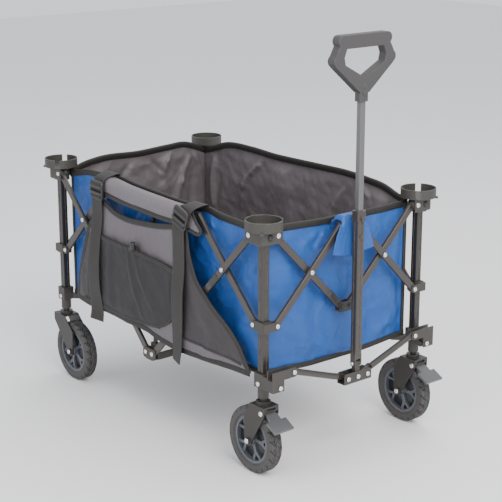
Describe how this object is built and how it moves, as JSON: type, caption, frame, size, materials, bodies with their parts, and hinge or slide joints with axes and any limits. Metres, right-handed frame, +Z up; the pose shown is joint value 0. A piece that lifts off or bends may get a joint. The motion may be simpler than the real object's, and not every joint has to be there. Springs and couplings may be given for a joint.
{
  "type": "folding utility wagon",
  "caption": "Folding utility wagon: fabric tub in a scissor frame on swivel and fixed wheels, corner cup trays, side pocket panel and telescoping pull handle.",
  "frame": {"origin": "on the ground, midway between the four posts", "axes": "+X to the front, where the pull handle is, +Y to the wagon's other side from the pocket panel, +Z up"},
  "size_m": [1.0274, 0.612, 1.072],
  "materials": {
    "blue_cloth": "woven polyester, slightly creased",
    "grey_cloth": "woven polyester with a mesh pocket",
    "tyre": "matt tread rubber",
    "rim_plastic": "dark blue-grey moulded plastic",
    "grey_plastic": "fine-grained grey moulding",
    "black_plastic": "black moulding",
    "dark_painted_steel": "dark grey powder coat",
    "pedal_steel": "light grey powder coat",
    "grey_painted_steel": "warm grey powder coat"
  },
  "bodies": {
    "left_hub": {"side_hub_left": "dark_painted_steel", "fabric_tub": "blue_cloth", "pocket_panel": "grey_cloth"},
    "left_front_long": {"side_long_bar_left_front": "grey_painted_steel"},
    "left_front_post": {"post_left_front": "grey_painted_steel", "cup_bracket_left_front": "grey_plastic", "corner_foot_left_front": "dark_painted_steel"},
    "left_front_short": {"side_short_bar_left_front": "grey_painted_steel"},
    "left_front_slider": {"slider_left_front": "grey_plastic"},
    "front_left_long": {"front_long_bar_left": "grey_painted_steel"},
    "front_left_short": {"front_short_bar_left": "grey_painted_steel"},
    "front_upper_link": {"front_upper_link": "grey_painted_steel"},
    "front_lower_link": {"front_lower_link": "black_plastic"},
    "front_right_long": {"front_long_bar_right": "grey_painted_steel"},
    "front_right_short": {"front_short_bar_right": "grey_painted_steel"},
    "right_front_post": {"post_right_front": "grey_painted_steel", "cup_bracket_right_front": "grey_plastic", "corner_foot_right_front": "dark_painted_steel"},
    "right_front_long": {"side_long_bar_right_front": "grey_painted_steel"},
    "right_front_short": {"side_short_bar_right_front": "grey_painted_steel"},
    "right_front_slider": {"slider_right_front": "grey_plastic"},
    "right_hub": {"side_hub_right": "dark_painted_steel"},
    "left_rear_long": {"side_long_bar_left_rear": "grey_painted_steel"},
    "left_rear_post": {"post_left_rear": "grey_painted_steel", "cup_bracket_left_rear": "grey_plastic", "corner_foot_left_rear": "dark_painted_steel", "fork_left_rear": "dark_painted_steel"},
    "left_rear_short": {"side_short_bar_left_rear": "grey_painted_steel"},
    "left_rear_slider": {"slider_left_rear": "grey_plastic"},
    "rear_left_long": {"rear_long_bar_left": "grey_painted_steel"},
    "rear_left_short": {"rear_short_bar_left": "grey_painted_steel"},
    "rear_upper_link": {"rear_upper_link": "grey_painted_steel"},
    "rear_lower_link": {"rear_lower_link": "black_plastic"},
    "rear_right_long": {"rear_long_bar_right": "grey_painted_steel"},
    "rear_right_short": {"rear_short_bar_right": "grey_painted_steel"},
    "right_rear_post": {"post_right_rear": "grey_painted_steel", "cup_bracket_right_rear": "grey_plastic", "corner_foot_right_rear": "dark_painted_steel", "fork_right_rear": "dark_painted_steel"},
    "right_rear_long": {"side_long_bar_right_rear": "grey_painted_steel"},
    "right_rear_short": {"side_short_bar_right_rear": "grey_painted_steel"},
    "right_rear_slider": {"slider_right_rear": "grey_plastic"},
    "left_rail": {"front_rail_left": "grey_painted_steel"},
    "right_rail": {"front_rail_right": "grey_painted_steel"},
    "handle_foot": {"handle_foot": "dark_painted_steel"},
    "handle_lower": {"handle_lower_tube": "blue_cloth"},
    "handle_upper": {"handle_upper_tube": "blue_cloth", "handle_grip": "grey_plastic"},
    "left_fork": {"fork_left_front": "dark_painted_steel"},
    "left_brake_pedal": {"brake_pedal_left": "pedal_steel"},
    "left_front_wheel": {"rim_left_front": "rim_plastic", "tyre_left_front": "tyre"},
    "left_rear_wheel": {"rim_left_rear": "rim_plastic", "tyre_left_rear": "tyre"},
    "right_fork": {"fork_right_front": "dark_painted_steel"},
    "right_brake_pedal": {"brake_pedal_right": "pedal_steel"},
    "right_front_wheel": {"rim_right_front": "rim_plastic", "tyre_right_front": "tyre"},
    "right_rear_wheel": {"rim_right_rear": "rim_plastic", "tyre_right_rear": "tyre"}
  },
  "joints": [
    {"name": "fold", "type": "hinge", "parent": "left_hub", "child": "left_front_long", "pos_m": [0.014, -0.2755, 0.19522], "axis": [0, -1, 0], "range_deg": [0, 30.6], "deforming": ["fabric_tub", "pocket_panel"]},
    {"name": "left_front_top_pin", "type": "hinge", "parent": "left_front_long", "child": "left_front_post", "pos_m": [0.425, -0.2755, 0.612], "axis": [0, 1, 0], "range_deg": [0, 30.6]},
    {"name": "left_front_crossing", "type": "hinge", "parent": "left_front_long", "child": "left_front_short", "pos_m": [0.3135, -0.265, 0.49893], "axis": [0, 1, 0], "range_deg": [0, 61.2]},
    {"name": "left_front_slider_pin", "type": "hinge", "parent": "left_front_short", "child": "left_front_slider", "pos_m": [0.425, -0.265, 0.38586], "axis": [0, -1, 0], "range_deg": [0, 30.6]},
    {"name": "front_left_long_pin", "type": "hinge", "parent": "left_front_post", "child": "front_left_long", "pos_m": [0.455, -0.235, 0.612], "axis": [-1, 0, 0], "range_deg": [0, 30.6]},
    {"name": "front_left_crossing", "type": "hinge", "parent": "front_left_long", "child": "front_left_short", "pos_m": [0.4655, -0.1235, 0.49893], "axis": [1, 0, 0], "range_deg": [0, 61.2]},
    {"name": "front_upper_link_pin", "type": "hinge", "parent": "front_left_short", "child": "front_upper_link", "pos_m": [0.4655, -0.012, 0.612], "axis": [-1, 0, 0], "range_deg": [0, 30.6]},
    {"name": "front_lower_link_pin", "type": "hinge", "parent": "front_left_long", "child": "front_lower_link", "pos_m": [0.455, -0.012, 0.38586], "axis": [1, 0, 0], "range_deg": [0, 30.6]},
    {"name": "front_right_long_pin", "type": "hinge", "parent": "front_lower_link", "child": "front_right_long", "pos_m": [0.455, 0.012, 0.38586], "axis": [1, 0, 0], "range_deg": [0, 30.6]},
    {"name": "front_right_crossing", "type": "hinge", "parent": "front_right_long", "child": "front_right_short", "pos_m": [0.4655, 0.1235, 0.49893], "axis": [-1, 0, 0], "range_deg": [0, 61.2]},
    {"name": "right_front_end_pin", "type": "hinge", "parent": "front_right_long", "child": "right_front_post", "pos_m": [0.455, 0.235, 0.612], "axis": [-1, 0, 0], "range_deg": [0, 30.6]},
    {"name": "right_front_top_pin", "type": "hinge", "parent": "right_front_post", "child": "right_front_long", "pos_m": [0.425, 0.2755, 0.612], "axis": [0, -1, 0], "range_deg": [0, 30.6]},
    {"name": "right_front_crossing", "type": "hinge", "parent": "right_front_long", "child": "right_front_short", "pos_m": [0.3135, 0.265, 0.49893], "axis": [0, 1, 0], "range_deg": [0, 61.2]},
    {"name": "right_front_slider_pin", "type": "hinge", "parent": "right_front_short", "child": "right_front_slider", "pos_m": [0.425, 0.265, 0.38586], "axis": [0, -1, 0], "range_deg": [0, 30.6]},
    {"name": "right_hub_pin", "type": "hinge", "parent": "right_front_long", "child": "right_hub", "pos_m": [0.014, 0.2755, 0.19522], "axis": [0, 1, 0], "range_deg": [0, 30.6]},
    {"name": "left_rear_fold", "type": "hinge", "parent": "left_hub", "child": "left_rear_long", "pos_m": [-0.014, -0.2755, 0.19522], "axis": [0, 1, 0], "range_deg": [0, 30.6]},
    {"name": "left_rear_top_pin", "type": "hinge", "parent": "left_rear_long", "child": "left_rear_post", "pos_m": [-0.425, -0.2755, 0.612], "axis": [0, -1, 0], "range_deg": [0, 30.6]},
    {"name": "left_rear_crossing", "type": "hinge", "parent": "left_rear_long", "child": "left_rear_short", "pos_m": [-0.3135, -0.265, 0.49893], "axis": [0, -1, 0], "range_deg": [0, 61.2]},
    {"name": "left_rear_slider_pin", "type": "hinge", "parent": "left_rear_short", "child": "left_rear_slider", "pos_m": [-0.425, -0.265, 0.38586], "axis": [0, 1, 0], "range_deg": [0, 30.6]},
    {"name": "rear_left_long_pin", "type": "hinge", "parent": "left_rear_post", "child": "rear_left_long", "pos_m": [-0.455, -0.235, 0.612], "axis": [-1, 0, 0], "range_deg": [0, 30.6]},
    {"name": "rear_left_crossing", "type": "hinge", "parent": "rear_left_long", "child": "rear_left_short", "pos_m": [-0.4655, -0.1235, 0.49893], "axis": [1, 0, 0], "range_deg": [0, 61.2]},
    {"name": "rear_upper_link_pin", "type": "hinge", "parent": "rear_left_short", "child": "rear_upper_link", "pos_m": [-0.4655, -0.012, 0.612], "axis": [-1, 0, 0], "range_deg": [0, 30.6]},
    {"name": "rear_lower_link_pin", "type": "hinge", "parent": "rear_left_long", "child": "rear_lower_link", "pos_m": [-0.455, -0.012, 0.38586], "axis": [1, 0, 0], "range_deg": [0, 30.6]},
    {"name": "rear_right_long_pin", "type": "hinge", "parent": "rear_lower_link", "child": "rear_right_long", "pos_m": [-0.455, 0.012, 0.38586], "axis": [1, 0, 0], "range_deg": [0, 30.6]},
    {"name": "rear_right_crossing", "type": "hinge", "parent": "rear_right_long", "child": "rear_right_short", "pos_m": [-0.4655, 0.1235, 0.49893], "axis": [-1, 0, 0], "range_deg": [0, 61.2]},
    {"name": "right_rear_end_pin", "type": "hinge", "parent": "rear_right_long", "child": "right_rear_post", "pos_m": [-0.455, 0.235, 0.612], "axis": [-1, 0, 0], "range_deg": [0, 30.6]},
    {"name": "right_rear_top_pin", "type": "hinge", "parent": "right_rear_post", "child": "right_rear_long", "pos_m": [-0.425, 0.2755, 0.612], "axis": [0, 1, 0], "range_deg": [0, 30.6]},
    {"name": "right_rear_crossing", "type": "hinge", "parent": "right_rear_long", "child": "right_rear_short", "pos_m": [-0.3135, 0.265, 0.49893], "axis": [0, -1, 0], "range_deg": [0, 61.2]},
    {"name": "right_rear_slider_pin", "type": "hinge", "parent": "right_rear_short", "child": "right_rear_slider", "pos_m": [-0.425, 0.265, 0.38586], "axis": [0, 1, 0], "range_deg": [0, 30.6]},
    {"name": "left_rail_pin", "type": "hinge", "parent": "left_front_post", "child": "left_rail", "pos_m": [0.494, -0.208, 0.272], "axis": [-1, 0, 0], "range_deg": [0, 62.11]},
    {"name": "right_rail_pin", "type": "hinge", "parent": "right_front_post", "child": "right_rail", "pos_m": [0.494, 0.208, 0.272], "axis": [1, 0, 0], "range_deg": [0, 62.11]},
    {"name": "handle_foot_pin", "type": "hinge", "parent": "left_rail", "child": "handle_foot", "pos_m": [0.494, -0.033, 0.212], "axis": [1, 0, 0], "range_deg": [0, 62.11]},
    {"name": "handle_tilt", "type": "hinge", "parent": "handle_foot", "child": "handle_lower", "pos_m": [0.501, 0, 0.246], "axis": [0, 1, 0], "range_deg": [0, 75]},
    {"name": "handle_telescope", "type": "slide", "parent": "handle_lower", "child": "handle_upper", "axis": [0, 0, 1], "range_m": [-0.26, 0]},
    {"name": "left_swivel", "type": "hinge", "parent": "left_front_post", "child": "left_fork", "pos_m": [0.45, -0.26, 0.2], "axis": [0, 0, 1], "continuous": true},
    {"name": "left_brake", "type": "hinge", "parent": "left_fork", "child": "left_brake_pedal", "pos_m": [0.47, -0.26, 0.172], "axis": [0, 1, 0], "range_deg": [0, 12]},
    {"name": "left_front_roll", "type": "hinge", "parent": "left_fork", "child": "left_front_wheel", "pos_m": [0.42, -0.26, 0.086], "axis": [0, 1, 0], "continuous": true},
    {"name": "left_rear_roll", "type": "hinge", "parent": "left_rear_post", "child": "left_rear_wheel", "pos_m": [-0.4, -0.26, 0.086], "axis": [0, 1, 0], "continuous": true},
    {"name": "right_swivel", "type": "hinge", "parent": "right_front_post", "child": "right_fork", "pos_m": [0.45, 0.26, 0.2], "axis": [0, 0, 1], "continuous": true},
    {"name": "right_brake", "type": "hinge", "parent": "right_fork", "child": "right_brake_pedal", "pos_m": [0.47, 0.26, 0.172], "axis": [0, 1, 0], "range_deg": [0, 12]},
    {"name": "right_front_roll", "type": "hinge", "parent": "right_fork", "child": "right_front_wheel", "pos_m": [0.42, 0.26, 0.086], "axis": [0, 1, 0], "continuous": true},
    {"name": "right_rear_roll", "type": "hinge", "parent": "right_rear_post", "child": "right_rear_wheel", "pos_m": [-0.4, 0.26, 0.086], "axis": [0, 1, 0], "continuous": true}
  ],
  "couplings": [
    {"joint": "left_front_top_pin", "follows": "fold", "ratio": 1},
    {"joint": "left_front_crossing", "follows": "fold", "ratio": 2},
    {"joint": "left_front_slider_pin", "follows": "fold", "ratio": 1},
    {"joint": "front_left_long_pin", "follows": "fold", "ratio": 1},
    {"joint": "front_left_crossing", "follows": "fold", "ratio": 2},
    {"joint": "front_upper_link_pin", "follows": "fold", "ratio": 1},
    {"joint": "front_lower_link_pin", "follows": "fold", "ratio": 1},
    {"joint": "front_right_long_pin", "follows": "fold", "ratio": 1},
    {"joint": "front_right_crossing", "follows": "fold", "ratio": 2},
    {"joint": "right_front_end_pin", "follows": "fold", "ratio": 1},
    {"joint": "right_front_top_pin", "follows": "fold", "ratio": 1},
    {"joint": "right_front_crossing", "follows": "fold", "ratio": 2},
    {"joint": "right_front_slider_pin", "follows": "fold", "ratio": 1},
    {"joint": "right_hub_pin", "follows": "fold", "ratio": 1},
    {"joint": "left_rear_fold", "follows": "fold", "ratio": 1},
    {"joint": "left_rear_top_pin", "follows": "fold", "ratio": 1},
    {"joint": "left_rear_crossing", "follows": "fold", "ratio": 2},
    {"joint": "left_rear_slider_pin", "follows": "fold", "ratio": 1},
    {"joint": "rear_left_long_pin", "follows": "fold", "ratio": 1},
    {"joint": "rear_left_crossing", "follows": "fold", "ratio": 2},
    {"joint": "rear_upper_link_pin", "follows": "fold", "ratio": 1},
    {"joint": "rear_lower_link_pin", "follows": "fold", "ratio": 1},
    {"joint": "rear_right_long_pin", "follows": "fold", "ratio": 1},
    {"joint": "rear_right_crossing", "follows": "fold", "ratio": 2},
    {"joint": "right_rear_end_pin", "follows": "fold", "ratio": 1},
    {"joint": "right_rear_top_pin", "follows": "fold", "ratio": 1},
    {"joint": "right_rear_crossing", "follows": "fold", "ratio": 2},
    {"joint": "right_rear_slider_pin", "follows": "fold", "ratio": 1},
    {"joint": "left_rail_pin", "follows": "fold", "ratio": 2.0297},
    {"joint": "right_rail_pin", "follows": "fold", "ratio": 2.0297},
    {"joint": "handle_foot_pin", "follows": "fold", "ratio": 2.0297}
  ]
}
